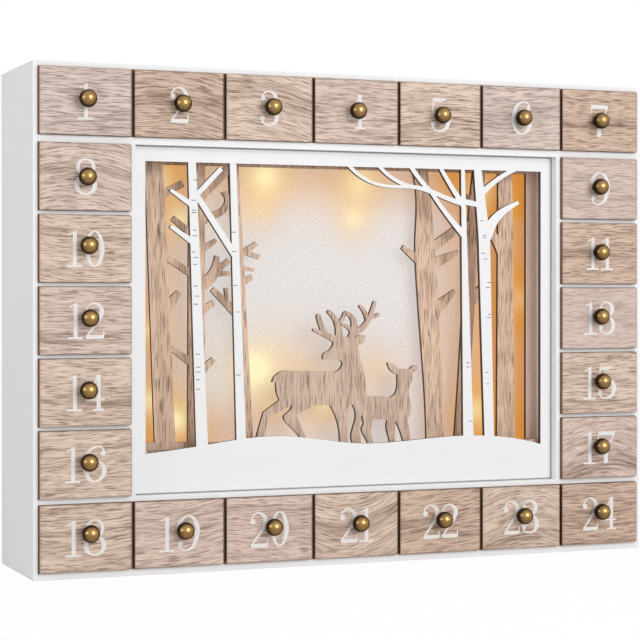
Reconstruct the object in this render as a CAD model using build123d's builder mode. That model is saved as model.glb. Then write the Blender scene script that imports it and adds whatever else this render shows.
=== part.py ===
"""Wooden advent calendar: a white case with twenty-four drawers round a lit winter scene.

X runs to the right, Y to the back and Z up. The origin is the middle of the case's underside,
and depths of the scene are counted from the front edges of the case boards. Millimetres.
"""
from build123d import *
import os
from math import atan2, cos, radians, sin, sqrt, tan

# Case boards
case_width = 400.0
case_height = 298.0
case_depth = 80.0
side_board = 3.0
top_board = 3.0
bottom_board = 4.0
upper_shelf = 4.0
lower_shelf = 3.0
partition = 3.0
row_divider = 1.5
column_shelf = 2.0
row_count = 7
column_count = 5

# Back panel, set inside the rear rim
back_rim = 4.0
back_board = 3.0
board_fit = 0.2

# Drawers
running_gap = 0.2
stop_gap = 0.3
front_board = 3.0
front_proud = 2.6
front_corner = 1.0
box_inset = 0.4
box_wall = 2.0
box_floor = 2.0
box_drop = 4.0

# Knobs and their screws
ball_diameter = 10.4
ball_stand = 5.8
collar_diameter = 6.0
collar_height = 0.8
neck_diameter = 4.4
screw_diameter = 2.8
screw_play = 0.05
screw_grip = 4.5
screw_head_diameter = 5.4
screw_head_height = 1.5

# Knob holes, drilled by hand: how far each is to the right of its front's middle and above it, by day
knob_holes = [
    (-0.1, 1.1), (0.4, 0.3), (0.4, 0.3), (-1.2, 0.0), (-1.2, -0.7), (-1.3, -0.4), (-2.4, -0.4), (-0.4, -0.3),
    (-2.8, 0.9), (0.5, 1.7), (-2.0, 0.6), (1.0, 1.4), (-2.0, 1.0), (0.2, 1.4), (-0.9, 1.0), (0.5, 1.4),
    (-1.7, 1.0), (1.4, 2.8), (1.9, 2.0), (0.8, 1.7), (0.5, 1.5), (0.1, 1.2), (-0.6, 1.3), (-1.3, 1.6),
]

# Scene layers, from the front to the back
recess = 6.0
panel_board = 3.0
panel_spacer = 4.0
layer_board = 2.5
layer_spacer = 4.5
cloth_spacer = 7.5
cloth_thickness = 0.6
spacer_width = 3.0
scene_fit = 0.3

# Borders of the layers
panel_border = 7.5
panel_border_top = 9.0
deer_border = 3.2
deer_border_top = 8.6
forest_border = 10.6
forest_border_top = 9.8
deer_ground = 25.0

# Battery box in the back panel
bay_width = 57.5
bay_height = 30.5
bay_depth = 16.0
tray_wall = 1.6
switch_room = 9.0
box_rise = 52.0
flange_margin = 5.0
flange_thickness = 2.4
flange_floor = 0.7
door_overlap = 1.4
door_tongue = 1.2
door_tongue_thickness = 0.8
door_play = 0.15
grip_rib = 0.4
grip_rib_count = 5
slider_travel = 4.0
slider_stem = 3.0
slider_depth = 3.2
slider_cap = 4.4
slider_proud = 1.0
slider_foot = 7.0
slider_foot_thickness = 1.2
slider_play = 0.2
switch_pocket_depth = 6.0

# Light string
lead_width = 2.2
lead_thickness = 1.2
lamp_diameter = 4.0
lamp_length = 5.0
lamp_chamfer = 0.9
lead_gap = 0.2

# Places that follow from the sizes above
front_y = -case_depth / 2
rear_y = case_depth / 2
panel_inner_y = rear_y - back_rim - back_board
panel_outer_y = rear_y - back_rim
cell_width = (case_width - 2 * side_board - (row_count - 1) * row_divider) / row_count
cell_height = (
    case_height - top_board - bottom_board - upper_shelf - lower_shelf - (column_count - 1) * column_shelf
) / (column_count + 2)
inner_x = case_width / 2 - side_board
light_x = inner_x - cell_width - partition
lower_shelf_z = bottom_board + cell_height
light_floor = lower_shelf_z + lower_shelf
light_top = case_height - top_board - cell_height - upper_shelf
deer_depth = recess + panel_board + panel_spacer
forest_depth = deer_depth + layer_board + layer_spacer
cloth_depth = forest_depth + layer_board + cloth_spacer
layer_x = light_x - scene_fit
layer_low = light_floor + board_fit
layer_high = light_top - board_fit


def facing(depth):
    """The plane at this depth behind the case's front edges, with x to the right and z up."""
    return Plane.XZ.offset(case_depth / 2 - depth)


def make_board(x, y, z):
    """One flat board, given as its low and high faces along each axis."""
    with BuildPart() as piece:
        with Locations(((x[0] + x[1]) / 2, (y[0] + y[1]) / 2, (z[0] + z[1]) / 2)):
            Box(x[1] - x[0], y[1] - y[0], z[1] - z[0])
    return piece.part


def save_group(name, pieces):
    """Write separate pieces that share one node."""
    whole = Compound([solid for piece in pieces for solid in piece.solids()])
    whole.label = name
    export_step(whole, f"parts/{name}.step")


def limb(start, end, start_width, end_width):
    """A straight tapering stem between two points of the sketch, cut square at both ends."""
    turn = atan2(end[1] - start[1], end[0] - start[0])
    across = (-sin(turn) / 2, cos(turn) / 2)
    corners = []
    for point, width in ((start, start_width), (end, -end_width)):
        for side in (width, -width):
            corners.append((point[0] + side * across[0], point[1] + side * across[1]))
    Polygon(*corners, align=None)


def trunk_at(trunk, z):
    """The point on a trunk's centre line at this height."""
    (foot_x, foot_z), (head_x, head_z) = trunk
    return (foot_x + (head_x - foot_x) * (z - foot_z) / (head_z - foot_z), z)


def grown(root, steps):
    """The points of a stem, given as distances right and up from its root."""
    return [root] + [(root[0] + x, root[1] + z) for x, z in steps]


def stem(points, widths):
    """A stem whose two edges bend smoothly past these points, cut square at both ends."""
    points = [Vector(point) for point in points]
    edges = ([], [])
    for index, (point, width) in enumerate(zip(points, widths)):
        along = (points[min(index + 1, len(points) - 1)] - points[max(index - 1, 0)]).normalized()
        across = Vector(-along.Y, along.X) * (width / 2)
        edges[0].append(point + across)
        edges[1].insert(0, point - across)
    with BuildLine() as outline:
        Spline(*edges[0])
        Line(edges[0][-1], edges[1][0])
        Spline(*edges[1])
        Line(edges[1][-1], edges[0][0])
    make_face(outline.edges())


def branch(root, steps, widths):
    """A branch from its root through these steps, straight where there is only one."""
    points = grown(root, steps)
    if len(points) == 2:
        limb(*points, *widths)
    else:
        stem(points, widths)


def tine(points, widths):
    """An antler's tine: a smooth stem with a round tip."""
    stem(points, widths)
    with Locations(points[-1]):
        Circle(widths[-1] / 2)


os.makedirs("parts", exist_ok=True)

# Outer case: two full-height sides with the top and the bottom between them
case_y = (front_y, rear_y)
outer_case = [
    make_board((-case_width / 2, -inner_x), case_y, (0, case_height)),
    make_board((inner_x, case_width / 2), case_y, (0, case_height)),
    make_board((-inner_x, inner_x), case_y, (case_height - top_board, case_height)),
    make_board((-inner_x, inner_x), case_y, (0, bottom_board)),
]
save_group("outer_case", outer_case)

# Light box: two long shelves and two partitions, with the strips that space the scene layers
inside_y = (front_y, panel_inner_y)
light_box = [
    make_board((-inner_x, inner_x), inside_y, (light_top, light_top + upper_shelf)),
    make_board((-inner_x, inner_x), inside_y, (lower_shelf_z, light_floor)),
    make_board((-light_x - partition, -light_x), inside_y, (light_floor, light_top)),
    make_board((light_x, light_x + partition), inside_y, (light_floor, light_top)),
]
spacers = [
    (recess + panel_board, deer_depth),
    (deer_depth + layer_board, forest_depth),
    (forest_depth + layer_board, cloth_depth),
]
for near, far in spacers:
    strip_y = (front_y + near, front_y + far)
    strip_x = layer_x - spacer_width
    light_box += [
        make_board((-layer_x, -strip_x), strip_y, (layer_low, layer_high)),
        make_board((strip_x, layer_x), strip_y, (layer_low, layer_high)),
        make_board((-strip_x, strip_x), strip_y, (layer_high - spacer_width, layer_high)),
        make_board((-strip_x, strip_x), strip_y, (layer_low, layer_low + spacer_width)),
    ]
save_group("light_box", light_box)

# Drawer dividers: upright ones in the two rows, flat ones in the two columns
dividers = []
for index in range(1, row_count):
    edge = -inner_x + index * cell_width + (index - 1) * row_divider
    divider_x = (edge, edge + row_divider)
    dividers.append(make_board(divider_x, inside_y, (bottom_board, lower_shelf_z)))
    dividers.append(make_board(divider_x, inside_y, (light_top + upper_shelf, case_height - top_board)))
for index in range(1, column_count):
    low = light_floor + index * cell_height + (index - 1) * column_shelf
    shelf_z = (low, low + column_shelf)
    dividers.append(make_board((-inner_x, -inner_x + cell_width), inside_y, shelf_z))
    dividers.append(make_board((inner_x - cell_width, inner_x), inside_y, shelf_z))
save_group("drawer_dividers", dividers)

# Battery box sizes that the back panel shares
tray_width = bay_width + 2 * tray_wall
tray_height = bay_height + switch_room + 3 * tray_wall
tray_centre_z = light_floor + box_rise
bay_z = tray_centre_z + tray_height / 2 - tray_wall - bay_height / 2
switch_z = tray_centre_z - tray_height / 2 + tray_wall + switch_room / 2
flange_width = tray_width + 2 * flange_margin
flange_height = tray_height + 2 * flange_margin
rear_plane = Plane.XZ.offset(-panel_outer_y)
flange_plane = Plane.XZ.offset(-panel_outer_y - flange_thickness)

# Back panel, cut out for the battery box
with BuildPart() as back_panel:
    with BuildSketch(rear_plane):
        with Locations((0, case_height / 2 + (bottom_board - top_board) / 2)):
            Rectangle(
                2 * (inner_x - board_fit),
                case_height - top_board - bottom_board - 2 * board_fit,
            )
        with Locations((0, tray_centre_z)):
            Rectangle(tray_width + 2 * board_fit, tray_height + 2 * board_fit, mode=Mode.SUBTRACT)
    extrude(amount=back_board)
back_panel.part.label = "back_panel"
export_step(back_panel.part, "parts/back_panel.step")

# Anchors of the scene: the trees keep to the window's sides and top, the ground to the floor
window_x = layer_x - panel_border
window_top = layer_high - panel_border_top
layer_mid_z = (layer_low + layer_high) / 2
layer_size = (2 * layer_x, layer_high - layer_low)


def left(x):
    """A place measured from the left side of the window."""
    return x - window_x


def right(x):
    """A place measured back from the right side of the window."""
    return window_x - x


def down(z):
    """A height measured down from the top of the window."""
    return window_top - z


def rise(z):
    """A height measured up from the floor of the light box."""
    return light_floor + z


# Snow bank, a rolling line along the foot of the front panel
snow_line = [
    (-window_x, rise(24.0)),
    (left(38.0), rise(28.2)),
    (-46.0, rise(32.2)),
    (2.0, rise(26.5)),
    (65.0, rise(28.8)),
    (window_x, rise(22.3)),
]
tree_foot = rise(15.0)

# Birch panel: border, snow bank, four slim trunks and their branches in one white board
with BuildPart() as birch_panel:
    with BuildSketch(facing(recess)):
        with Locations((0, layer_mid_z)):
            Rectangle(*layer_size)
        with BuildLine():
            Spline(*snow_line)
            Polyline(snow_line[-1], (window_x, window_top), (-window_x, window_top), snow_line[0])
        make_face(mode=Mode.SUBTRACT)
        tree_head = window_top + panel_border_top / 2
        first = ((left(35.5), tree_foot), (left(28.6), tree_head))
        second = ((left(60.2), tree_foot), (left(54.4), tree_head))
        third = ((right(50.9), tree_foot), (right(55.2), tree_head))
        fork = (right(40.1), down(42.4))
        fourth_foot = ((right(36.2), tree_foot), fork)
        fourth_head = (fork, (right(45.2), tree_head))
        limb(*first, 7.6, 4.8)
        limb(*second, 6.2, 4.0)
        limb(*third, 7.6, 2.4)
        fork_width = 8.0
        limb(*fourth_foot, 6.4, fork_width)
        limb(*fourth_head, fork_width, 5.0)
        with Locations(fork):
            Circle(fork_width / 2)
        limb(trunk_at(first, down(16.1)), trunk_at(second, down(55.5)), 3.3, 4.2)
        limb(trunk_at(fourth_head, down(22.1)), trunk_at(third, down(20.0)), 3.2, 3.6)
        branch(trunk_at(first, down(25.8)), [(-14.3, 9.2)], [3.5, 1.9])
        branch(trunk_at(first, down(47.9)), [(-15.1, 9.9)], [4.0, 1.9])
        branch(trunk_at(first, down(21.5)), [(17.6, 18.3)], [3.2, 2.8])
        branch(trunk_at(third, down(22.3)), [(-9.4, 12.8), (-16.1, 23.3)], [3.9, 2.8, 2.4])
        branch(trunk_at(third, down(40.9)), [(-10.9, 11.4), (-23.9, 27.9)], [4.4, 3.0, 2.4])
        upper = trunk_at(fourth_head, down(15.5))
        branch(upper, [(7.2, 6.2), (15.4, 11.9), (26.0, 16.9)], [4.4, 3.4, 2.8, 2.4])
        branch(fork, [(2.9, 4.6), (6.6, 10.5), (13.4, 16.7), (24.2, 22.5)], [8.8, 7.8, 6.2, 4.4, 2.2])
        overhang = [
            (-13.1, 3.2), (-23.3, 6.9), (-33.5, 9.1), (-42.6, 9.3),
            (-51.0, 9.3), (-61.0, 10.9), (-70.9, 15.5), (-80.0, 24.0),
        ]
        root = trunk_at(third, down(20.8))
        branch(root, overhang, [4.2, 2.8, 2.8, 2.4, 1.9, 1.8, 1.8, 2.0, 2.4])
        joints = grown(root, overhang)
        branch(joints[2], [(-6.6, 6.8), (-12.9, 14.9)], [3.0, 2.8, 2.8])
        branch(joints[3], [(-15.6, 5.4), (-24.4, 12.7)], [2.4, 2.2, 2.2])
    extrude(amount=-panel_board)
birch_panel.part.label = "birch_panel"
export_step(birch_panel.part, "parts/birch_panel.step")

# Stag and fawn, cut in one thin board with their frame and the ground they stand on
hoof = rise(deer_ground - 2.0)
with BuildPart() as deer_layer:
    with BuildSketch(facing(deer_depth)):
        with Locations((0, layer_mid_z)):
            Rectangle(*layer_size)
        deer_top = layer_high - deer_border_top
        with Locations((0, (rise(deer_ground) + deer_top) / 2)):
            Rectangle(2 * (layer_x - deer_border), deer_top - rise(deer_ground), mode=Mode.SUBTRACT)
        with BuildLine():
            Spline((-41.0, rise(71.4)), (-25.0, rise(70.8)), (-10.0, rise(70.2)))
            Spline((-10.0, rise(70.2)), (-4.2, rise(72.2)), (-2.9, rise(75.2)), (-5.4, rise(77.7)))
            Line((-5.4, rise(77.7)), (-15.4, rise(77.8)))
            Spline((-15.4, rise(77.8)), (-15.9, rise(79.7)), (-14.4, rise(82.1)))
            Spline((-14.4, rise(82.1)), (-10.4, rise(84.5)), (-9.1, rise(87.0)), (-9.1, rise(90.7)))
            Polyline((-9.1, rise(90.7)), (-6.0, rise(91.6)), (3.6, rise(91.4)), (4.8, rise(89.0)))
            Spline((4.8, rise(89.0)), (8.6, rise(92.6)), (12.6, rise(92.4)))
            Spline((12.6, rise(92.4)), (11.6, rise(88.3)), (7.6, rise(86.4)))
            Spline((7.6, rise(86.4)), (8.8, rise(79.8)), (11.8, rise(68.4)), (12.6, rise(52.0)))
            Polyline((12.6, rise(52.0)), (9.6, rise(41.6)), (8.4, rise(34.2)), (10.4, hoof), (6.6, hoof))
            Spline((6.6, hoof), (3.6, rise(33.2)), (6.0, rise(41.2)), (4.6, rise(48.4)))
            ThreePointArc((4.6, rise(48.4)), (2.8, rise(50.0)), (1.3, rise(48.4)))
            Polyline((1.3, rise(48.4)), (0.4, rise(34.0)), (0.4, hoof), (-4.7, hoof))
            Spline((-4.7, hoof), (-5.1, rise(35.3)), (-7.0, rise(42.1)), (-11.0, rise(49.6)))
            Polyline((-11.0, rise(49.6)), (-21.6, rise(49.8)), (-33.4, rise(44.0)), (-27.2, rise(30.9)))
            Polyline((-27.2, rise(30.9)), (-25.8, hoof), (-31.8, hoof))
            hock = [(-36.0, rise(36.0)), (-41.2, rise(43.8)), (-37.7, rise(46.8))]
            Spline((-31.8, hoof), *hock, (-36.2, rise(50.4)))
            Polyline((-36.2, rise(50.4)), (-44.0, rise(46.6)), (-51.2, rise(43.0)), (-54.6, rise(30.0)))
            Polyline((-54.6, rise(30.0)), (-55.6, hoof), (-61.4, hoof), (-59.3, rise(31.1)))
            Polyline((-59.3, rise(31.1)), (-54.6, rise(46.4)), (-44.2, rise(53.5)))
            Spline((-44.2, rise(53.5)), (-46.2, rise(58.8)), (-46.4, rise(64.4)))
            Line((-46.4, rise(64.4)), (-49.0, rise(64.4)))
            Spline((-49.0, rise(64.4)), (-48.0, rise(67.2)), (-45.0, rise(70.0)), (-41.0, rise(71.4)))
        make_face()
        tines = [
            ([(-5.7, 88.0), (-5.3, 96.8), (-7.1, 101.7), (-11.5, 106.9)], [5.0, 4.0, 3.2, 2.6]),
            ([(-6.0, 89.6), (-13.7, 92.9), (-21.5, 95.9)], [4.6, 3.4, 1.8]),
            ([(-14.4, 93.4), (-16.8, 98.7), (-18.6, 104.2)], [3.4, 3.0, 2.8]),
            ([(-6.0, 100.0), (-2.4, 102.9), (-1.4, 106.0)], [2.8, 2.2, 1.8]),
            ([(2.0, 88.0), (4.9, 95.5), (4.9, 101.1), (-0.4, 106.4)], [5.0, 4.4, 3.6, 2.2]),
            ([(5.0, 94.4), (11.7, 97.9), (15.3, 102.9), (19.0, 112.6)], [4.0, 3.4, 3.0, 2.2]),
            ([(14.2, 100.8), (12.3, 106.6), (9.3, 110.4)], [2.8, 2.4, 1.8]),
            ([(15.8, 103.6), (19.0, 104.0), (21.3, 105.3)], [2.6, 2.2, 2.0]),
            ([(4.4, 93.4), (1.3, 97.4), (-2.7, 99.2)], [2.8, 2.2, 1.6]),
        ]
        for points, widths in tines:
            tine([(x, rise(z)) for x, z in points], widths)
        with BuildLine():
            Spline((10.0, rise(55.4)), (20.0, rise(54.6)), (29.0, rise(53.8)))
            Spline((29.0, rise(53.8)), (33.2, rise(56.8)), (34.4, rise(61.6)), (34.3, rise(67.8)))
            Spline((34.3, rise(67.8)), (29.8, rise(70.4)), (27.6, rise(75.4)))
            Spline((27.6, rise(75.4)), (31.8, rise(74.4)), (34.9, rise(71.3)))
            Line((34.9, rise(71.3)), (42.9, rise(71.2)))
            Spline((42.9, rise(71.2)), (45.2, rise(73.2)), (48.4, rise(72.8)))
            Spline((48.4, rise(72.8)), (47.0, rise(70.2)), (44.2, rise(69.0)))
            Spline((44.2, rise(69.0)), (44.6, rise(65.0)), (43.0, rise(61.6)))
            Spline((43.0, rise(61.6)), (42.6, rise(53.6)), (43.8, rise(46.6)), (41.2, rise(40.1)))
            Polyline((41.2, rise(40.1)), (42.8, rise(29.6)), (43.2, hoof), (39.2, hoof))
            Spline((39.2, hoof), (37.6, rise(28.7)), (35.5, rise(34.3)), (32.8, rise(39.0)))
            Polyline((32.8, rise(39.0)), (32.6, rise(29.6)), (32.8, hoof), (28.9, hoof))
            Spline((28.9, hoof), (28.8, rise(27.6)), (27.2, rise(33.3)), (27.7, rise(39.4)))
            Polyline((27.7, rise(39.4)), (17.9, rise(40.6)), (16.0, rise(33.6)), (18.3, hoof), (14.3, hoof))
            Spline((14.3, hoof), (13.8, rise(26.8)), (10.2, rise(33.7)), (11.6, rise(37.6)))
            Polyline((11.6, rise(37.6)), (10.0, rise(44.0)), (10.0, rise(55.4)))
        make_face()
    extrude(amount=-layer_board)
deer_layer.part.label = "deer_layer"
export_step(deer_layer.part, "parts/deer_layer.step")

# Forest: broad trunks with stub branches, cut in one thin board with its frame and ground
with BuildPart() as forest_layer:
    with BuildSketch(facing(forest_depth)):
        with Locations((0, layer_mid_z)):
            Rectangle(*layer_size)
        forest_x = layer_x - forest_border
        forest_top = layer_high - forest_border_top
        forest_ground = [
            (-forest_x, rise(29.2)),
            (left(44.0), rise(28.6)),
            (0.0, rise(22.0)),
            (forest_x, rise(19.0)),
        ]
        with BuildLine():
            Spline(*forest_ground)
            Polyline(forest_ground[-1], (forest_x, forest_top), (-forest_x, forest_top), forest_ground[0])
        make_face(mode=Mode.SUBTRACT)
        ridge = forest_top + forest_border_top / 2
        near_left = ((left(17.0), tree_foot), (left(9.4), ridge))
        stout_left = ((left(36.0), tree_foot), (left(36.6), ridge))
        mid_left = ((left(69.2), tree_foot), (left(59.6), ridge))
        crooked_foot = ((right(67.4), tree_foot), (right(73.4), down(60.0)))
        crooked_head = ((right(73.8), down(66.0)), (right(79.2), ridge))
        mid_right_foot = ((right(51.2), tree_foot), (right(41.1), down(45.1)))
        mid_right_head = (mid_right_foot[1], (right(36.0), ridge))
        near_right = ((right(17.4), tree_foot), (right(18.0), ridge))
        limb(*near_left, 13.0, 11.2)
        branch(trunk_at(near_left, down(20.9)), [(17.4, 9.1)], [5.0, 4.2])
        branch(trunk_at(near_left, down(92.2)), [(12.0, 15.4)], [9.7, 3.4])
        limb(*stout_left, 10.8, 10.0)
        branch(trunk_at(stout_left, down(21.9)), [(20.5, 19.9)], [6.0, 5.0])
        hook = [(8.8, 7.4), (17.3, 11.8), (19.3, 15.7), (17.2, 22.4)]
        branch(trunk_at(stout_left, down(38.7)), hook, [6.0, 5.0, 4.0, 3.2, 3.8])
        branch(trunk_at(stout_left, down(44.7)), [(-15.1, 12.1)], [4.3, 3.4])
        branch(trunk_at(stout_left, down(53.6)), [(12.4, 8.0)], [4.8, 2.4])
        branch(trunk_at(stout_left, down(68.0)), [(-19.6, 12.4)], [4.2, 3.6])
        crotch = grown(trunk_at(stout_left, down(74.4)), [(10.7, 8.6), (12.9, 19.4)])
        stem(crotch, [7.7, 6.0, 2.8])
        branch(crotch[1], [(10.0, 8.2)], [4.4, 3.0])
        branch(crotch[1], [(10.4, 0.2)], [4.2, 2.6])
        branch(trunk_at(stout_left, down(90.7)), [(10.9, 7.5)], [6.1, 3.2])
        branch(trunk_at(stout_left, down(121.5)), [(-17.2, 12.1)], [5.0, 3.0])
        branch(trunk_at(stout_left, down(127.5)), [(11.0, 10.1)], [5.9, 3.2])
        limb(*mid_left, 8.0, 6.6)
        twin = grown(trunk_at(mid_left, down(55.6)), [(4.9, 2.6)])
        branch(twin[0], [(12.1, 8.4)], [5.0, 2.6])
        branch(twin[1], [(9.0, -2.4)], [2.8, 3.0])
        branch(trunk_at(mid_left, down(61.7)), [(10.2, -1.7)], [3.3, 2.0])
        branch(trunk_at(mid_left, down(71.8)), [(8.7, 4.4)], [5.3, 2.8])
        spur = grown(trunk_at(mid_left, down(91.9)), [(-8.2, 7.9)])
        branch(spur[0], [(-18.2, 16.7)], [6.2, 3.2])
        branch(spur[1], [(-1.4, 9.6)], [2.6, 2.2])
        crook = [(right(71.4), down(98.6)), (right(73.6), down(66.0)), (right(74.8), down(44.0))]
        waist = (right(75.2), down(26.0))
        stem([crooked_foot[0], *crook, waist, crooked_head[1]], [12.5, 13.5, 14.0, 13.2, 10.6, 11.6])
        branch(trunk_at(crooked_foot, down(60.8)), [(-16.8, 12.4)], [7.2, 2.8])
        branch(trunk_at(crooked_head, down(52.5)), [(22.8, 15.9)], [6.5, 5.0])
        branch(trunk_at(crooked_head, down(61.4)), [(23.6, 10.4)], [9.3, 2.4])
        branch(trunk_at(crooked_foot, down(92.2)), [(18.2, 16.4)], [11.2, 2.2])
        bend = trunk_at(mid_right_foot, down(80.0))
        stem([mid_right_foot[0], bend, *mid_right_head], [8.0, 8.4, 8.6, 8.8])
        branch(trunk_at(mid_right_foot, down(85.4)), [(9.4, 11.5)], [6.5, 4.6])
        branch(trunk_at(mid_right_head, down(36.0)), [(-8.5, 2.5)], [6.5, 5.0])
        branch(trunk_at(mid_right_head, down(20.4)), [(-9.5, 3.5)], [8.0, 6.0])
        limb(*near_right, 13.0, 9.8)
        branch(trunk_at(near_right, down(59.1)), [(-8.2, 18.1), (-12.8, 23.7)], [6.5, 5.2, 3.6])
    extrude(amount=-layer_board)
forest_layer.part.label = "forest_layer"
export_step(forest_layer.part, "parts/forest_layer.step")

# Backdrop: a woven cloth stretched over the last spacer frame
with BuildPart() as backdrop_cloth:
    with BuildSketch(facing(cloth_depth)):
        with Locations((0, layer_mid_z)):
            Rectangle(*layer_size)
    extrude(amount=-cloth_thickness)
backdrop_cloth.part.label = "backdrop_cloth"
export_step(backdrop_cloth.part, "parts/backdrop_cloth.step")

# Door grooves: the tongues run under lips at the top and bottom of the door opening
door_floor_y = panel_outer_y + flange_floor
tongue_plane = Plane.XZ.offset(-door_floor_y)
groove_height = door_tongue_thickness + 2 * door_play
lip_plane = Plane.XZ.offset(-door_floor_y - groove_height)
door_height = bay_height + 2 * door_overlap
door_width = bay_width + 2 * door_overlap
groove_length = flange_width / 2 + door_width / 2 + door_play
groove_x = flange_width / 2 - groove_length / 2
slot_width = slider_stem + slider_travel + 2 * slider_play
slot_height = slider_depth + 2 * slider_play

# Battery box: a tray through the back panel, with a flange behind it
with BuildPart() as battery_box:
    with BuildSketch(rear_plane):
        with Locations((0, tray_centre_z)):
            RectangleRounded(flange_width, flange_height, flange_margin / 2)
    extrude(amount=-flange_thickness)
    with BuildSketch(rear_plane):
        with Locations((0, tray_centre_z)):
            Rectangle(tray_width, tray_height)
    extrude(amount=bay_depth + tray_wall)
    with BuildSketch(flange_plane):
        with Locations((0, bay_z)):
            Rectangle(bay_width, bay_height)
    extrude(amount=bay_depth + flange_thickness, mode=Mode.SUBTRACT)
    with BuildSketch(tongue_plane):
        with Locations((groove_x, bay_z)):
            Rectangle(groove_length, door_height + 2 * (door_tongue + door_play))
    extrude(amount=-groove_height, mode=Mode.SUBTRACT)
    with BuildSketch(lip_plane):
        with Locations((groove_x, bay_z)):
            Rectangle(groove_length, door_height + 2 * door_play)
    extrude(amount=-flange_thickness, mode=Mode.SUBTRACT)
    with BuildSketch(flange_plane):
        with Locations((0, switch_z)):
            Rectangle(slot_width, slot_height)
    extrude(amount=flange_thickness, mode=Mode.SUBTRACT)
    with BuildSketch(rear_plane):
        with Locations((0, switch_z)):
            Rectangle(slider_foot + slider_travel + 2 * slider_play, switch_room)
    extrude(amount=switch_pocket_depth, mode=Mode.SUBTRACT)
battery_box.part.label = "battery_box"
export_step(battery_box.part, "parts/battery_box.step")

# Battery door: a plate with two tongues and a ribbed thumb grip
with BuildPart() as battery_door:
    with BuildSketch(Plane.XZ.offset(-door_floor_y - door_play)):
        with Locations((0, bay_z)):
            Rectangle(door_width, door_height + 2 * door_tongue)
    extrude(amount=-door_tongue_thickness)
    with BuildSketch(Plane.XZ.offset(-door_floor_y - door_play - door_tongue_thickness)):
        with Locations((0, bay_z)):
            Rectangle(door_width, door_height)
    extrude(amount=-(flange_thickness - flange_floor - door_play - door_tongue_thickness))
    with BuildSketch(flange_plane):
        with Locations((-door_width / 3, bay_z)):
            with GridLocations(4 * grip_rib, 1, grip_rib_count, 1):
                Rectangle(2 * grip_rib, door_height / 2)
    extrude(amount=-grip_rib)
battery_door.part.label = "battery_door"
export_step(battery_door.part, "parts/battery_door.step")

# Switch slider: a cap on a stem, held behind the flange by its foot
slider_x = -slider_travel / 2
with BuildPart() as switch_slider:
    with BuildSketch(Plane.XZ.offset(-panel_outer_y + slider_play)):
        with Locations((slider_x, switch_z)):
            Rectangle(slider_foot, slider_foot)
    extrude(amount=slider_foot_thickness)
    with BuildSketch(Plane.XZ.offset(-panel_outer_y + slider_play)):
        with Locations((slider_x, switch_z)):
            Rectangle(slider_stem, slider_depth)
    extrude(amount=-(flange_thickness + 2 * slider_play))
    with BuildSketch(Plane.XZ.offset(-panel_outer_y - flange_thickness - slider_play)):
        with Locations((slider_x, switch_z)):
            Rectangle(slider_cap, slider_depth)
    extrude(amount=-slider_proud)
switch_slider.part.label = "switch_slider"
export_step(switch_slider.part, "parts/switch_slider.step")

# Light string: a flat twin lead along the back panel, out of one end of the tray and into the other
lead_y = panel_inner_y - lead_gap - lead_thickness / 2


def beside(share):
    """A distance from the middle, between the battery tray's end (0) and the side of the window (1)."""
    return tray_width / 2 + share * (window_x - tray_width / 2)


lead_route = [
    (-beside(0), rise(58.0)),
    (-beside(0.14), rise(58.0)),
    (-beside(0.23), rise(71.4)),
    (-beside(0.52), rise(50.0)),
    (-beside(0.76), rise(42.0)),
    (-beside(0.90), rise(58.0)),
    (-beside(0.89), rise(96.0)),
    (-beside(0.73), rise(136.0)),
    (-beside(0.71), rise(163.0)),
    (-beside(0.78), down(24.0)),
    (-beside(0.80), down(12.0)),
    (-beside(0.54), down(6.0)),
    (-beside(0.20), down(8.0)),
    (-0.10 * window_x, down(18.0)),
    (0.12 * window_x, down(19.0)),
    (beside(0.31), down(16.0)),
    (beside(0.69), down(11.0)),
    (beside(0.92), down(34.0)),
    (beside(0.94), rise(114.5)),
    (beside(0.88), rise(70.0)),
    (beside(0.66), rise(43.8)),
    (beside(0.21), rise(52.0)),
    (beside(0.13), rise(58.0)),
    (beside(0), rise(58.0)),
]
bend_share = 0.45
turns = []
bend_middles = []
for before, corner, after in zip(lead_route, lead_route[1:], lead_route[2:]):
    arrive = Vector(corner) - Vector(before)
    leave = Vector(after) - Vector(corner)
    half_turn = radians(arrive.get_angle(leave)) / 2
    turns.append(bend_share * min(arrive.length, leave.length) / tan(half_turn))
    inward = (leave.normalized() - arrive.normalized()).normalized()
    bend_middles.append(Vector(corner) + inward * turns[-1] * (1 / cos(half_turn) - 1))
print("light string bends, mm:", [round(turn, 1) for turn in turns])
with BuildPart() as lead:
    with BuildLine(Plane.XZ.offset(-lead_y)) as run:
        FilletPolyline(*lead_route, radius=turns)
    with BuildSketch(Plane(run.line @ 0, x_dir=(0, 1, 0), z_dir=run.line % 0)):
        Rectangle(lead_thickness, lead_width)
    sweep()
lead_section = lead_width * lead_thickness
print("light string volume over section times length:", lead.part.volume / lead_section / run.wire().length)
with BuildPart() as lamp:
    with BuildSketch(Plane.XY):
        with BuildLine():
            shoulder = (lamp_diameter / 2, lamp_chamfer - lamp_length)
            Polyline((0, 0), (lamp_diameter / 2, 0), shoulder)
            Polyline(shoulder, (lamp_diameter / 2 - lamp_chamfer, -lamp_length), (0, -lamp_length), (0, 0))
        make_face()
    revolve(axis=Axis.Y)
lamp_y = lead_y - lead_thickness / 2 - lead_gap
lamp_spots = bend_middles[1:-1:2]
lamps = [lamp.part.moved(Location((spot.X, lamp_y, spot.Y))) for spot in lamp_spots]
save_group("led_string", [lead.part] + lamps)

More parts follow.
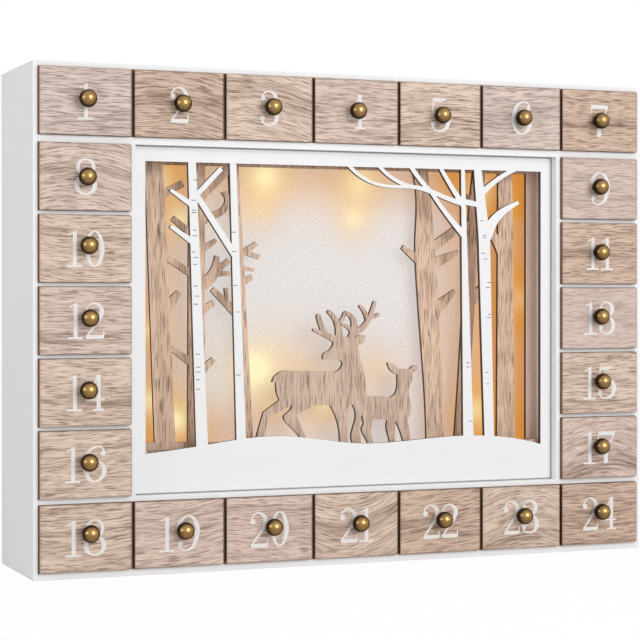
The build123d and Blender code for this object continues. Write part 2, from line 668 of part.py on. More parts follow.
# Drawer: a plain box behind a veneered front, its cell's floor centre at the origin
front_width = cell_width - 2 * running_gap
front_height = cell_height - 2 * running_gap
front_back_y = front_y - front_proud + front_board
box_back_y = panel_inner_y - stop_gap
box_x = front_width / 2 - box_inset
box_low = running_gap
box_high = running_gap + front_height - box_drop
box_y = (front_back_y, box_back_y)
inside_x = (-box_x + box_wall, box_x - box_wall)
drawer_box = [
    make_board((-box_x, -box_x + box_wall), box_y, (box_low, box_high)),
    make_board((box_x - box_wall, box_x), box_y, (box_low, box_high)),
    make_board(inside_x, (box_back_y - box_wall, box_back_y), (box_low, box_high)),
    make_board(inside_x, (front_back_y, box_back_y - box_wall), (box_low, box_low + box_floor)),
]

# Knob: a turned brass ball on a short neck, tapped for the screw that holds it from inside
ball_radius = ball_diameter / 2
bore_radius = screw_diameter / 2 + screw_play
neck_radius = neck_diameter / 2
collar_radius = collar_diameter / 2
bore_depth = screw_grip + screw_play
ball_end = ball_stand + ball_radius
neck_end = ball_stand - sqrt(ball_radius**2 - neck_radius**2)
with BuildPart() as knob:
    with BuildSketch(Plane.XY):
        with BuildLine():
            Polyline((bore_radius, 0), (collar_radius, 0), (collar_radius, -collar_height))
            Line((collar_radius, -collar_height), (neck_radius, -neck_end))
            ThreePointArc((neck_radius, -neck_end), (ball_radius, -ball_stand), (0, -ball_end))
            Polyline((0, -ball_end), (0, -bore_depth), (bore_radius, -bore_depth), (bore_radius, 0))
        make_face()
    revolve(axis=Axis.Y)
with BuildPart() as screw:
    with BuildSketch(Plane.XZ.offset(-front_board)):
        Circle(screw_head_diameter / 2)
    extrude(amount=-screw_head_height)
    with BuildSketch(Plane.XZ.offset(-front_board)):
        Circle(screw_diameter / 2)
    extrude(amount=front_board + screw_grip)

# Cells by day: seven along the top, five down each side in turn, seven along the bottom
cells = []
for index in range(row_count):
    cells.append((-inner_x + cell_width / 2 + index * (cell_width + row_divider), light_top + upper_shelf))
for index in range(column_count):
    floor_z = light_top - (index + 1) * cell_height - index * column_shelf
    for side in (-1, 1):
        cells.append((side * (inner_x - cell_width / 2), floor_z))
for index in range(row_count):
    cells.append((-inner_x + cell_width / 2 + index * (cell_width + row_divider), bottom_board))
front_middle = running_gap + front_height / 2
for day, ((cell_x, cell_floor), (aside, above)) in enumerate(zip(cells, knob_holes), start=1):
    with BuildPart() as drawer_front:
        with BuildSketch(facing(-front_proud)):
            with Locations((cell_x, cell_floor + front_middle)):
                RectangleRounded(front_width, front_height, front_corner)
            with Locations((cell_x + aside, cell_floor + front_middle + above)):
                Circle(bore_radius, mode=Mode.SUBTRACT)
        extrude(amount=-front_board)
    place = Location((cell_x, 0, cell_floor))
    knob_place = Location((cell_x + aside, front_y - front_proud, cell_floor + front_middle + above))
    save_group(f"drawer_{day:02d}", [drawer_front.part] + [piece.moved(place) for piece in drawer_box])
    save_group(f"knob_{day:02d}", [knob.part.moved(knob_place), screw.part.moved(knob_place)])
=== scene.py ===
"""Wooden advent calendar: the painted case, its oak-fronted drawers and the lit winter scene.

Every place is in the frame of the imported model: X to the right, Y to the back and Z up, in metres.
"""

import random
from math import radians

import bmesh
import bpy
from mathutils import Matrix, Vector


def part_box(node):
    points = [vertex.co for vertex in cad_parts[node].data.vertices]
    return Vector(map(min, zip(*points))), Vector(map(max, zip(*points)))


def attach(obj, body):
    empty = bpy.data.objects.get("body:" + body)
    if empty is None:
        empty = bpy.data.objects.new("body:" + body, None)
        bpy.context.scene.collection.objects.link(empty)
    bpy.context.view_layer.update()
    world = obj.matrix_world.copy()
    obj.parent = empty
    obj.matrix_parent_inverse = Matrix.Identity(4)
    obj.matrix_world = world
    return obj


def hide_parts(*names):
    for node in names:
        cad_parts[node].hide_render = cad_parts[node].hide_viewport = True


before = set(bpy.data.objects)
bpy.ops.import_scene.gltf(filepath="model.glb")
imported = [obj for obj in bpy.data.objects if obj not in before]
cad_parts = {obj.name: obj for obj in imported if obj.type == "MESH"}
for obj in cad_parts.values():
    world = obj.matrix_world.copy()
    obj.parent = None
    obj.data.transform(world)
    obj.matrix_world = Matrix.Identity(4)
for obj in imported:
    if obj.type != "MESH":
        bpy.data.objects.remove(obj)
scene = bpy.context.scene
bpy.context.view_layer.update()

# Viewpoint: a long lens about 1.2 m away, to the left of the front and level with the middle of the
# case.
camera = bpy.data.objects.new("camera", bpy.data.cameras.new("camera"))
scene.collection.objects.link(camera)
camera.location = (-0.466, -1.133, 0.163)
camera.rotation_euler = (radians(89.64), 0.0, radians(-22.05))
camera.data.sensor_width = 36.0
camera.data.lens = 109.6
camera.data.shift_x = 0.0006
camera.data.shift_y = -0.018
scene.camera = camera
scene.view_settings.view_transform = "Standard"

# Studio: a white room that the camera, and anything polished, sees as plain white paper. One large
# soft lamp stands in front, to the right, and a smaller one to the left, as the knobs' glints show.
world = bpy.data.worlds.new("white_room")
scene.world = world
world.use_nodes = True
room = world.node_tree
room_light = room.nodes["Background"]
room_light.inputs["Color"].default_value = (1.0, 1.0, 1.0, 1.0)
room_light.inputs["Strength"].default_value = 0.48
room_seen = room.nodes.new("ShaderNodeBackground")
room_seen.inputs["Color"].default_value = (1.0, 1.0, 1.0, 1.0)
room_seen.inputs["Strength"].default_value = 1.0
room_mix = room.nodes.new("ShaderNodeMixShader")
room_rays = room.nodes.new("ShaderNodeLightPath")
seen = room_rays.outputs["Is Camera Ray"]
for ray in ("Is Glossy Ray", "Is Transmission Ray"):
    either = room.nodes.new("ShaderNodeMath")
    either.operation = "MAXIMUM"
    room.links.new(seen, either.inputs[0])
    room.links.new(room_rays.outputs[ray], either.inputs[1])
    seen = either.outputs[0]
room.links.new(seen, room_mix.inputs[0])
room.links.new(room_light.outputs[0], room_mix.inputs[1])
room.links.new(room_seen.outputs[0], room_mix.inputs[2])
room.links.new(room_mix.outputs[0], room.nodes["World Output"].inputs["Surface"])

lamp_target = Vector((0.0, 0.0, 0.15))
for lamp_name, place, size, power in (
    ("key_lamp", (0.45, -1.80, 0.72), 1.2, 18.2),
    ("side_lamp", (-1.70, -0.44, 0.55), 0.7, 5.7),
):
    lamp = bpy.data.lights.new(lamp_name, "AREA")
    lamp.shape = "SQUARE"
    lamp.size = size
    lamp.energy = power
    tripod = bpy.data.objects.new(lamp_name, lamp)
    scene.collection.objects.link(tripod)
    tripod.location = place
    tripod.rotation_euler = (lamp_target - Vector(place)).to_track_quat("-Z", "Y").to_euler()

# Floor: a wide sheet of white paper under the case. The camera sees nine tenths of it as plain
# white, and the last tenth keeps the soft shadow.
floor_half, seen_white, seen_share = 4.0, 1.03, 0.90
sheet = bmesh.new()
bmesh.ops.create_grid(sheet, x_segments=1, y_segments=1, size=floor_half)
floor = bpy.data.objects.new("paper_floor", bpy.data.meshes.new("paper_floor"))
sheet.to_mesh(floor.data)
sheet.free()
scene.collection.objects.link(floor)
paper = bpy.data.materials.new("white_paper")
paper.use_nodes = True
paper_nodes = paper.node_tree
paper_shader = paper_nodes.nodes["Principled BSDF"]
paper_shader.inputs["Base Color"].default_value = (0.9, 0.9, 0.9, 1.0)
paper_shader.inputs["Roughness"].default_value = 0.9
paper_white = paper_nodes.nodes.new("ShaderNodeEmission")
paper_white.inputs["Strength"].default_value = seen_white
paper_mix = paper_nodes.nodes.new("ShaderNodeMixShader")
paper_rays = paper_nodes.nodes.new("ShaderNodeLightPath")
paper_share = paper_nodes.nodes.new("ShaderNodeMath")
paper_share.operation = "MULTIPLY"
paper_share.inputs[1].default_value = seen_share
paper_nodes.links.new(paper_rays.outputs["Is Camera Ray"], paper_share.inputs[0])
paper_nodes.links.new(paper_share.outputs[0], paper_mix.inputs[0])
paper_nodes.links.new(paper_shader.outputs[0], paper_mix.inputs[1])
paper_nodes.links.new(paper_white.outputs[0], paper_mix.inputs[2])
paper_nodes.links.new(paper_mix.outputs[0], paper_nodes.nodes["Material Output"].inputs["Surface"])
floor.data.materials.append(paper)


# Case: two sides, a top and a bottom of thin fibreboard, glued at butt joints. It is sprayed matt
# white as one box, with the sharp edges rubbed down a little first.
mm = 0.001


class Value:
    """A number that varies over a surface. Arithmetic on it adds Math nodes to its material."""

    def __init__(self, socket):
        self.socket = socket

    def math(self, operation, first, second):
        node = self.socket.id_data.nodes.new("ShaderNodeMath")
        node.operation = operation
        feed(node.inputs[0], first)
        feed(node.inputs[1], second)
        return Value(node.outputs[0])

    def __add__(self, other):
        return self.math("ADD", self, other)

    def __radd__(self, other):
        return self.math("ADD", other, self)

    def __sub__(self, other):
        return self.math("SUBTRACT", self, other)

    def __rsub__(self, other):
        return self.math("SUBTRACT", other, self)

    def __mul__(self, other):
        return self.math("MULTIPLY", self, other)

    def __rmul__(self, other):
        return self.math("MULTIPLY", other, self)

    def __truediv__(self, other):
        return self.math("DIVIDE", self, other)

    def __rtruediv__(self, other):
        return self.math("DIVIDE", other, self)

    def __neg__(self):
        return self.math("MULTIPLY", self, -1.0)

    def __abs__(self):
        return self.math("ABSOLUTE", self, 0.0)

    def above(self, limit):
        return self.math("GREATER_THAN", self, limit)

    def below(self, limit):
        return self.math("LESS_THAN", self, limit)

    def least(self, other):
        return self.math("MINIMUM", self, other)

    def most(self, other):
        return self.math("MAXIMUM", self, other)

    def power(self, other):
        return self.math("POWER", self, other)


def feed(socket, term):
    """Put a number, a colour or the output of other nodes into a socket."""
    if isinstance(term, Value):
        term = term.socket
    if isinstance(term, bpy.types.NodeSocket):
        socket.id_data.links.new(term, socket)
    else:
        socket.default_value = term


class Finish:
    """One surface finish: a principled shader and the nodes that feed it. Its places are in mm."""

    def __init__(self, name, **constants):
        self.material = bpy.data.materials.new(name)
        self.material.use_nodes = True
        self.shader = self.material.node_tree.nodes["Principled BSDF"]
        for socket, amount in constants.items():
            self.shader.inputs[socket.replace("_", " ").title()].default_value = amount
        place = self.node("ShaderNodeTexCoord").outputs["Object"]
        self.x, self.y, self.z = (Value(out) * (1.0 / mm) for out in self.split(place))

    def node(self, kind, settings=(), sockets=()):
        node = self.material.node_tree.nodes.new(kind)
        for name, setting in dict(settings).items():
            setattr(node, name, setting)
        for name, term in dict(sockets).items():
            feed(node.inputs[name], term)
        return node

    def split(self, vector):
        return self.node("ShaderNodeSeparateXYZ", (), {0: vector}).outputs

    def facing_y(self):
        """How far a face looks to the back (1) or the front (-1)."""
        return Value(self.split(self.node("ShaderNodeNewGeometry").outputs["Normal"])[1])

    def noise(self, x, y, z, detail=2.0, roughness=0.5):
        """Soft random values round one half; the three terms are the pattern's own coordinates."""
        vector = self.node("ShaderNodeCombineXYZ", (), {0: x, 1: y, 2: z}).outputs[0]
        sockets = {"Vector": vector, "Scale": 1.0, "Detail": detail, "Roughness": roughness}
        return Value(self.node("ShaderNodeTexNoise", (), sockets).outputs[0])

    def ease(self, value, low, high):
        """A smooth step from 0 at low to 1 at high."""
        settings = {"interpolation_type": "SMOOTHSTEP"}
        sockets = {"Value": value, "From Min": low, "From Max": high}
        return Value(self.node("ShaderNodeMapRange", settings, sockets).outputs[0])

    def mix(self, share, first, second):
        """A colour between two, by a share from 0 to 1."""
        return self.node("ShaderNodeMix", {"data_type": "RGBA"}, {0: share, 6: first, 7: second}).outputs[2]

    def tint(self, first, second):
        """Two colours multiplied."""
        settings = {"data_type": "RGBA", "blend_type": "MULTIPLY"}
        return self.node("ShaderNodeMix", settings, {0: 1.0, 6: first, 7: second}).outputs[2]

    def bump(self, height, depth):
        """Raise the surface by a height from 0 to 1 times this depth."""
        sockets = {"Strength": 1.0, "Distance": depth, "Height": height}
        feed(self.shader.inputs["Normal"], self.node("ShaderNodeBump", (), sockets).outputs[0])


white_paint = Finish("white_paint", roughness=0.5)
cloudy = white_paint.noise(white_paint.x / 55.0, white_paint.y / 55.0, white_paint.z / 55.0, 3.0)
spray = white_paint.noise(white_paint.x / 0.9, white_paint.y / 0.9, white_paint.z / 0.9, 2.0)
feed(
    white_paint.shader.inputs["Base Color"],
    white_paint.mix(cloudy, (0.850, 0.852, 0.858, 1.0), (0.872, 0.870, 0.872, 1.0)),
)
feed(white_paint.shader.inputs["Roughness"], 0.44 + 0.14 * spray)
white_paint.bump(spray, 0.02 * mm)


def add_board(shape, low, high, ease):
    """Add one flat board to a shape, with all its edges rubbed down."""
    corners = bmesh.ops.create_cube(shape, size=1.0)["verts"]
    bmesh.ops.scale(shape, vec=Vector(high) - Vector(low), verts=corners)
    bmesh.ops.translate(shape, vec=(Vector(low) + Vector(high)) / 2, verts=corners)
    edges = list({edge for corner in corners for edge in corner.link_edges})
    bmesh.ops.bevel(shape, geom=edges, offset=ease, affect="EDGES", segments=2, profile=0.5, material=-1)


def finish_piece(name, shape, finish, body):
    """Make an object of a shape, give it its finish and let it ride on its body."""
    bmesh.ops.recalc_face_normals(shape, faces=shape.faces)
    piece = bpy.data.objects.new(name, bpy.data.meshes.new(name))
    shape.to_mesh(piece.data)
    shape.free()
    scene.collection.objects.link(piece)
    piece.data.materials.append(finish.material)
    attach(piece, body)
    return piece


def finish_node(node, finish):
    """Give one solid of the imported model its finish, with its shape as it is."""
    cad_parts[node].material_slots[0].material = finish.material


low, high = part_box("outer_case")
side, top, bottom, rubbed = 3.0 * mm, 3.0 * mm, 4.0 * mm, 0.35 * mm
left, right = low[0] + side, high[0] - side
case_boards = bmesh.new()
add_board(case_boards, low, (left, high[1], high[2]), rubbed)
add_board(case_boards, (right, low[1], low[2]), high, rubbed)
add_board(case_boards, (left, low[1], high[2] - top), (right, high[1], high[2]), rubbed)
add_board(case_boards, (left, low[1], low[2]), (right, high[1], low[2] + bottom), rubbed)
outer_case = finish_piece("outer_case_boards", case_boards, white_paint, "case")
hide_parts("outer_case")
finish_node("light_box", white_paint)

# Dividers: thin fibreboard strips, glued between the case and the light box. The flat ones are
# sprayed with the case. The uprights of both rows, which the fronts cover, are coloured dark brown
# as painted shade in the narrow gaps between the fronts.
upper_row, lower_row = 253.0, 45.0
divider_paint = Finish("divider_paint", roughness=0.5)
gap_shade = divider_paint.z.above(upper_row) + divider_paint.z.below(lower_row)
feed(
    divider_paint.shader.inputs["Base Color"],
    divider_paint.mix(gap_shade, (0.812, 0.812, 0.818, 1.0), (0.135, 0.088, 0.058, 1.0)),
)
finish_node("drawer_dividers", divider_paint)

# Drawers: a box of thin plywood behind a front that is laser cut from oak-veneered board, so the
# cut edges are burnt dark brown. The veneer runs across, and every front has its own figure.
# Each veneer has the colour of its pale wood, of its dark wood and of its pores.
veneers = {
    "rosy": ((0.712, 0.552, 0.470, 1.0), (0.260, 0.160, 0.115, 1.0), (0.210, 0.130, 0.098, 1.0)),
    "sandy": ((0.730, 0.563, 0.458, 1.0), (0.255, 0.155, 0.102, 1.0), (0.195, 0.118, 0.080, 1.0)),
    "honey": ((0.645, 0.470, 0.362, 1.0), (0.220, 0.125, 0.076, 1.0), (0.165, 0.092, 0.056, 1.0)),
    "ashen": ((0.690, 0.552, 0.486, 1.0), (0.260, 0.178, 0.142, 1.0), (0.210, 0.142, 0.115, 1.0)),
    "quiet": ((0.660, 0.515, 0.450, 1.0), (0.400, 0.290, 0.240, 1.0), (0.350, 0.250, 0.205, 1.0)),
}
# For each day: the veneer, the grain's slope and arch, and the heartwood's place, width and depth.
figures = {
    1: ("ashen", -0.02, 0.000, -12.0, 7.0, 0.25),
    2: ("honey", -0.10, -0.004, 3.0, 5.0, 0.60),
    3: ("sandy", -0.16, -0.003, 9.0, 7.0, 0.45),
    4: ("rosy", -0.03, 0.000, 0.0, 4.0, 0.15),
    5: ("sandy", 0.05, -0.002, -8.0, 6.0, 0.25),
    6: ("ashen", 0.06, 0.001, 2.0, 9.0, 0.25),
    7: ("honey", 0.02, 0.001, -3.0, 3.2, 0.50),
    8: ("rosy", -0.05, -0.006, 6.0, 4.0, 0.50),
    9: ("quiet", -0.01, 0.000, -6.0, 5.0, 0.25),
    10: ("sandy", -0.04, 0.001, 8.0, 6.0, 0.35),
    11: ("honey", 0.01, 0.000, -1.0, 4.0, 0.50),
    12: ("rosy", -0.01, 0.000, -9.0, 4.0, 0.45),
    13: ("quiet", 0.05, 0.001, 2.0, 6.0, 0.20),
    14: ("sandy", -0.02, 0.001, -6.0, 7.0, 0.40),
    15: ("sandy", 0.01, 0.000, -13.0, 5.0, 0.40),
    16: ("sandy", 0.06, 0.000, 6.0, 6.0, 0.20),
    17: ("rosy", 0.04, -0.008, -9.0, 9.0, 0.65),
    18: ("sandy", 0.04, 0.001, 4.0, 3.0, 0.40),
    19: ("rosy", 0.10, 0.002, 9.0, 6.0, 0.25),
    20: ("rosy", -0.01, 0.000, 12.0, 4.0, 0.30),
    21: ("sandy", 0.14, 0.010, -2.0, 4.0, 0.75),
    22: ("honey", 0.13, 0.000, 0.0, 8.0, 0.30),
    23: ("sandy", 0.08, -0.006, -12.0, 7.0, 0.55),
    24: ("honey", 0.02, 0.001, -4.0, 7.0, 0.30),
}
# The colour of the laser scorch on the face's rim, also used for the painted shadow along its foot.
scorch_and_foot_shadow = (0.130, 0.064, 0.030, 1.0)
char_dark, char_pale = (0.110, 0.052, 0.026, 1.0), (0.230, 0.118, 0.060, 1.0)
ply_dark, ply_pale = (0.50, 0.38, 0.25, 1.0), (0.66, 0.53, 0.38, 1.0)
front_board_back = -39.65


def front_measures(node):
    """The middle and the half sizes of a piece seen from the front, in millimetres."""
    low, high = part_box(node)
    middle = [(low[axis] + high[axis]) / 2 / mm for axis in (0, 2)]
    half = [(high[axis] - low[axis]) / 2 / mm for axis in (0, 2)]
    return middle, half


# The lengths that divide a pattern's coordinates are the millimetres over which it changes.
for day, (veneer, slope, arch, heart, heart_width, heart_depth) in figures.items():
    name = f"drawer_{day:02d}"
    (middle_x, middle_z), (half_width, half_height) = front_measures(name)
    oak = Finish(f"oak_{day:02d}", roughness=0.6)
    across = oak.x - middle_x
    up = oak.z - middle_z
    sway = oak.noise(across / 36.0, up / 16.0, day * 3.7, 1.0) - 0.5
    grain = up - slope * across - arch * across * across + 2.6 * sway
    pores = oak.ease(oak.noise(across / 9.0, grain / 0.46, day * 5.3, 1.0), 0.52, 0.63)
    drifts = oak.ease(oak.noise(across / 24.0, grain / 1.5, day * 2.9, 2.0), 0.45, 0.70)
    bands = oak.noise(across / 60.0, grain / 5.0, day * 7.1, 2.0)
    offset = (grain - heart) / heart_width
    heartwood = oak.ease(1.0 - offset * offset, 0.0, 1.0) * (0.45 + 0.55 * drifts)
    pale, dark, pore = veneers[veneer]
    shade = 0.38 * drifts + (bands - 0.46) + heart_depth * heartwood
    wood = oak.mix(shade.most(0.0).least(1.0), pale, dark)
    wood = oak.mix(pores * (0.45 + 0.55 * bands), wood, pore)
    rim = (half_width - abs(across)).least(half_height - abs(up))
    scorch = 1.0 - oak.ease(rim, 0.0, 0.7 + 0.5 * bands)
    # Painted shadow: a dark line along the foot of each front's face. The darker rim on all four sides is
    # the laser's own scorch.
    foot_shadow = 1.0 - oak.ease(half_height + up, 0.1, 0.9)
    wood = oak.mix(scorch.most(foot_shadow) * 0.55, wood, scorch_and_foot_shadow)
    char = oak.noise(oak.x / 1.1, oak.y / 0.5, oak.z / 1.1, 2.0)
    burnt = oak.mix(char, char_dark, char_pale)
    front_board = oak.y.below(front_board_back)
    front_face = front_board * oak.facing_y().below(-0.5)
    ply_grain = oak.noise(oak.x / 2.0, oak.y / 30.0, oak.z / 2.0, 3.0)
    plywood = oak.mix(ply_grain, ply_dark, ply_pale)
    colour = oak.mix(front_board, plywood, burnt)
    feed(oak.shader.inputs["Base Color"], oak.mix(front_face, colour, wood))
    feed(oak.shader.inputs["Roughness"], 0.52 + 0.2 * pores)
    oak.bump(1.0 - pores, 0.05 * mm)
    finish_node(name, oak)

# Numerals: one thin coat of white paint through a stencil, in a fat-and-thin serif face. Each
# stroke lists its points as millimetres right, millimetres up and width; a ball is one point.
digits = {
    "0": (12.0, [
        [
            (6.0, 20.7, 1.0), (3.1, 18.3, 1.8), (1.5, 10.6, 2.9), (3.1, 2.9, 1.8), (6.0, 0.55, 1.0),
            (8.9, 2.9, 1.8), (10.5, 10.6, 2.9), (8.9, 18.3, 1.8), (6.0, 20.7, 1.0),
        ],
    ]),
    "1": (9.0, [
        [(4.7, 0.4, 2.4), (4.7, 20.2, 2.4)], [(5.7, 20.9, 0.5), (1.0, 18.2, 0.8)],
        [(0.0, 0.55, 1.1), (9.0, 0.55, 1.1)],
    ]),
    "2": (11.2, [
        [(1.7, 15.4, 3.2)],
        [
            (0.6, 15.6, 0.9), (1.6, 18.8, 0.9), (5.0, 20.7, 1.0), (8.6, 18.9, 2.0), (9.7, 15.6, 2.9),
            (8.4, 11.6, 2.2), (5.2, 7.2, 1.4), (2.0, 3.0, 1.0), (0.7, 1.0, 0.9),
        ],
        [(0.4, 1.15, 2.3), (10.6, 1.15, 2.3)], [(10.7, 0.4, 0.9), (11.0, 4.6, 0.8)],
    ]),
    "3": (12.2, [
        [(2.0, 16.6, 2.9)], [(1.6, 4.4, 3.1)],
        [
            (1.0, 17.2, 0.9), (2.8, 19.8, 0.9), (5.8, 20.7, 1.0), (9.0, 19.2, 2.1), (9.9, 16.2, 2.8),
            (8.6, 12.9, 1.9), (5.6, 11.3, 0.9), (4.4, 11.2, 0.8),
        ],
        [
            (4.4, 11.2, 0.8), (7.2, 11.0, 1.0), (9.8, 9.4, 2.1), (10.7, 6.0, 3.0), (9.6, 2.4, 2.2),
            (6.2, 0.55, 1.0), (2.6, 1.2, 0.9), (0.6, 4.0, 0.9),
        ],
    ]),
    "4": (12.1, [
        [(8.3, 0.4, 2.5), (8.3, 20.8, 2.5)], [(8.3, 20.9, 1.0), (0.9, 6.8, 1.0)],
        [(0.5, 6.3, 1.0), (12.0, 6.3, 1.0)], [(5.0, 0.55, 1.1), (11.6, 0.55, 1.1)],
    ]),
    "5": (13.5, [
        [(1.6, 4.8, 3.1)], [(1.7, 20.6, 0.9), (1.5, 10.4, 0.9)],
        [(1.6, 19.7, 1.9), (7.0, 19.7, 2.1), (10.8, 20.4, 0.6)],
        [
            (1.5, 10.4, 0.9), (4.2, 12.7, 1.0), (7.6, 12.7, 1.6), (11.0, 10.2, 2.6), (12.0, 6.6, 3.1),
            (10.4, 2.4, 2.1), (6.6, 0.55, 1.0), (2.8, 1.2, 0.9), (0.6, 4.4, 0.9),
        ],
    ]),
    "6": (14.2, [
        [(11.9, 16.8, 3.0)],
        [
            (13.0, 17.2, 0.9), (11.4, 19.8, 0.9), (8.0, 20.7, 1.0), (3.6, 18.0, 2.1), (1.6, 11.6, 3.0),
            (1.6, 7.0, 3.0), (3.4, 2.4, 2.0), (7.2, 0.55, 1.0), (10.9, 2.4, 2.0), (12.7, 6.4, 3.0),
            (11.2, 10.6, 2.0), (7.8, 12.2, 1.0), (4.2, 10.6, 0.9), (2.8, 7.6, 0.8),
        ],
    ]),
    "7": (13.3, [
        [(5.9, 1.6, 3.1)], [(0.9, 19.4, 2.5), (12.4, 19.4, 2.5)], [(0.5, 20.8, 0.8), (0.3, 15.4, 0.8)],
        [(12.5, 19.6, 0.9), (9.2, 13.8, 1.0), (7.0, 9.2, 1.5), (6.0, 5.0, 2.6), (5.9, 2.0, 3.1)],
    ]),
    "8": (13.7, [
        [
            (6.85, 20.7, 1.0), (3.5, 19.3, 1.7), (2.2, 15.9, 2.2), (3.5, 12.6, 1.7), (6.85, 11.2, 1.0),
            (10.2, 12.6, 1.7), (11.5, 15.9, 2.2), (10.2, 19.3, 1.7), (6.85, 20.7, 1.0),
        ],
        [
            (6.85, 11.2, 1.0), (3.0, 9.7, 2.0), (1.5, 5.9, 2.8), (3.0, 2.1, 2.0), (6.85, 0.55, 1.0),
            (10.7, 2.1, 2.0), (12.2, 5.9, 2.8), (10.7, 9.7, 2.0), (6.85, 11.2, 1.0),
        ],
    ]),
}
six_width, six_strokes = digits["6"]
turning_height = 21.25
digits["9"] = (six_width, [
    [(six_width - x, turning_height - z, width) for x, z, width in stroke] for stroke in six_strokes
])


def smooth(points, steps):
    """Points along a curve through all the given ones; a curve that returns to its start is closed."""
    closed = points[0] == points[-1]
    curve = []
    for index in range(len(points) - 1):
        start, end = Vector(points[index]), Vector(points[index + 1])
        back = Vector(points[index - 1 if index else (-2 if closed else 0)])
        ahead = Vector(points[index + 2 if index + 2 < len(points) else (1 if closed else -1)])
        for step in range(steps):
            share = step / steps
            pull = start * 2 + (end - back) * share + (back * 2 - start * 5 + end * 4 - ahead) * share**2
            curve.append((pull + (start * 3 - back - end * 3 + ahead) * share**3) / 2)
    return curve + [Vector(points[-1])]


def paint_stroke(shape, points, place, coat):
    """Add one flat brush stroke, or one round ball where there is a single point."""
    if len(points) == 1:
        x, z, width = points[0]
        spot = bmesh.ops.create_circle(shape, cap_ends=True, segments=20, radius=width / 2 * mm)["verts"]
        bmesh.ops.rotate(shape, matrix=Matrix.Rotation(radians(90.0), 3, "X"), verts=spot)
        bmesh.ops.translate(shape, vec=place + Vector((x * mm, -coat, z * mm)), verts=spot)
        return
    line = smooth(points, 1 if len(points) == 2 else 8)
    rails = []
    for index, (x, z, width) in enumerate(line):
        along = (line[min(index + 1, len(line) - 1)] - line[max(index - 1, 0)]).to_2d()
        if points[0] == points[-1] and index in (0, len(line) - 1):
            along = (line[1] - line[-2]).to_2d()
        across = Vector((-along.y, along.x)).normalized() * width / 2
        rails.append([
            shape.verts.new(place + Vector(((x + side * across.x) * mm, -coat, (z + side * across.y) * mm)))
            for side in (-1, 1)
        ])
    for first, second in zip(rails, rails[1:]):
        shape.faces.new((first[0], first[1], second[1], second[0]))


stencil_paint = Finish("stencil_paint", roughness=0.55)
full_coat, thin_coat = (0.80, 0.775, 0.755, 1.0), (0.66, 0.58, 0.52, 1.0)
patches = stencil_paint.noise(stencil_paint.x / 5.0, 0.0, stencil_paint.z / 0.8, 2.0, 0.6)
worn = stencil_paint.ease(patches, 0.56, 0.78)
feed(stencil_paint.shader.inputs["Base Color"], stencil_paint.mix(worn, full_coat, thin_coat))
numeral_height, digit_gap, coat = 21.2, 1.5, 0.03 * mm
for day in figures:
    low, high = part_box(f"drawer_{day:02d}")
    label = str(day)
    width = sum(digits[digit][0] for digit in label) + digit_gap * (len(label) - 1)
    start_x = (low[0] + high[0] - width * mm) / 2
    pen = Vector((start_x, low[1], (low[2] + high[2] - numeral_height * mm) / 2))
    numeral = bmesh.new()
    for digit in label:
        advance, strokes = digits[digit]
        for layer, stroke in enumerate(strokes):
            paint_stroke(numeral, stroke, pen, coat * (1.0 + 0.2 * layer))
        pen.x += (advance + digit_gap) * mm
    for face in numeral.faces:
        face.normal_update()
        if face.normal.y > 0.0:
            face.normal_flip()
    piece = bpy.data.objects.new(f"numeral_{day:02d}", bpy.data.meshes.new(f"numeral_{day:02d}"))
    numeral.to_mesh(piece.data)
    numeral.free()
    scene.collection.objects.link(piece)
    piece.data.materials.append(stencil_paint.material)
    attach(piece, f"drawer_{day:02d}")

# Knobs: turned brass balls, aged with tarnish, on a short neck and collar. Their base colour holds
# painted light: bright on the crown, which faces the front, as a painted highlight, and dark towards
# the rim as a painted reflection of a dark room. Each is held by a cross-head screw from inside the
# drawer.
aged_brass = Finish("aged_brass", metallic=1.0, roughness=0.27, coat_weight=0.3, coat_roughness=0.12)
tarnish = aged_brass.noise(aged_brass.x / 2.4, aged_brass.y / 2.4, aged_brass.z / 2.4, 3.0)
# Painted highlight on the crown and painted dark reflection towards the rim, varied a little by the
# tarnish.
crown_glint_rim_shade = aged_brass.ease(-aged_brass.facing_y(), 0.25, 1.0) * (0.85 + 0.3 * (tarnish - 0.5))
feed(
    aged_brass.shader.inputs["Base Color"],
    aged_brass.mix(crown_glint_rim_shade, (0.034, 0.017, 0.004, 1.0), (0.460, 0.285, 0.100, 1.0)),
)
aged_brass.shader.inputs["Specular Tint"].default_value = (0.28, 0.17, 0.07, 1.0)
feed(aged_brass.shader.inputs["Roughness"], 0.20 + 0.10 * tarnish)
ball, stand, collar, collar_height = 5.2 * mm, 5.8 * mm, 3.0 * mm, 0.8 * mm
neck, neck_foot, neck_height, neck_middle = 2.2 * mm, 2.53 * mm, 2.0 * mm, 0.9 * mm
screw_dome, screw_rim, screw_height, front_thickness = 2.2 * mm, 2.7 * mm, 1.5 * mm, 3.0 * mm
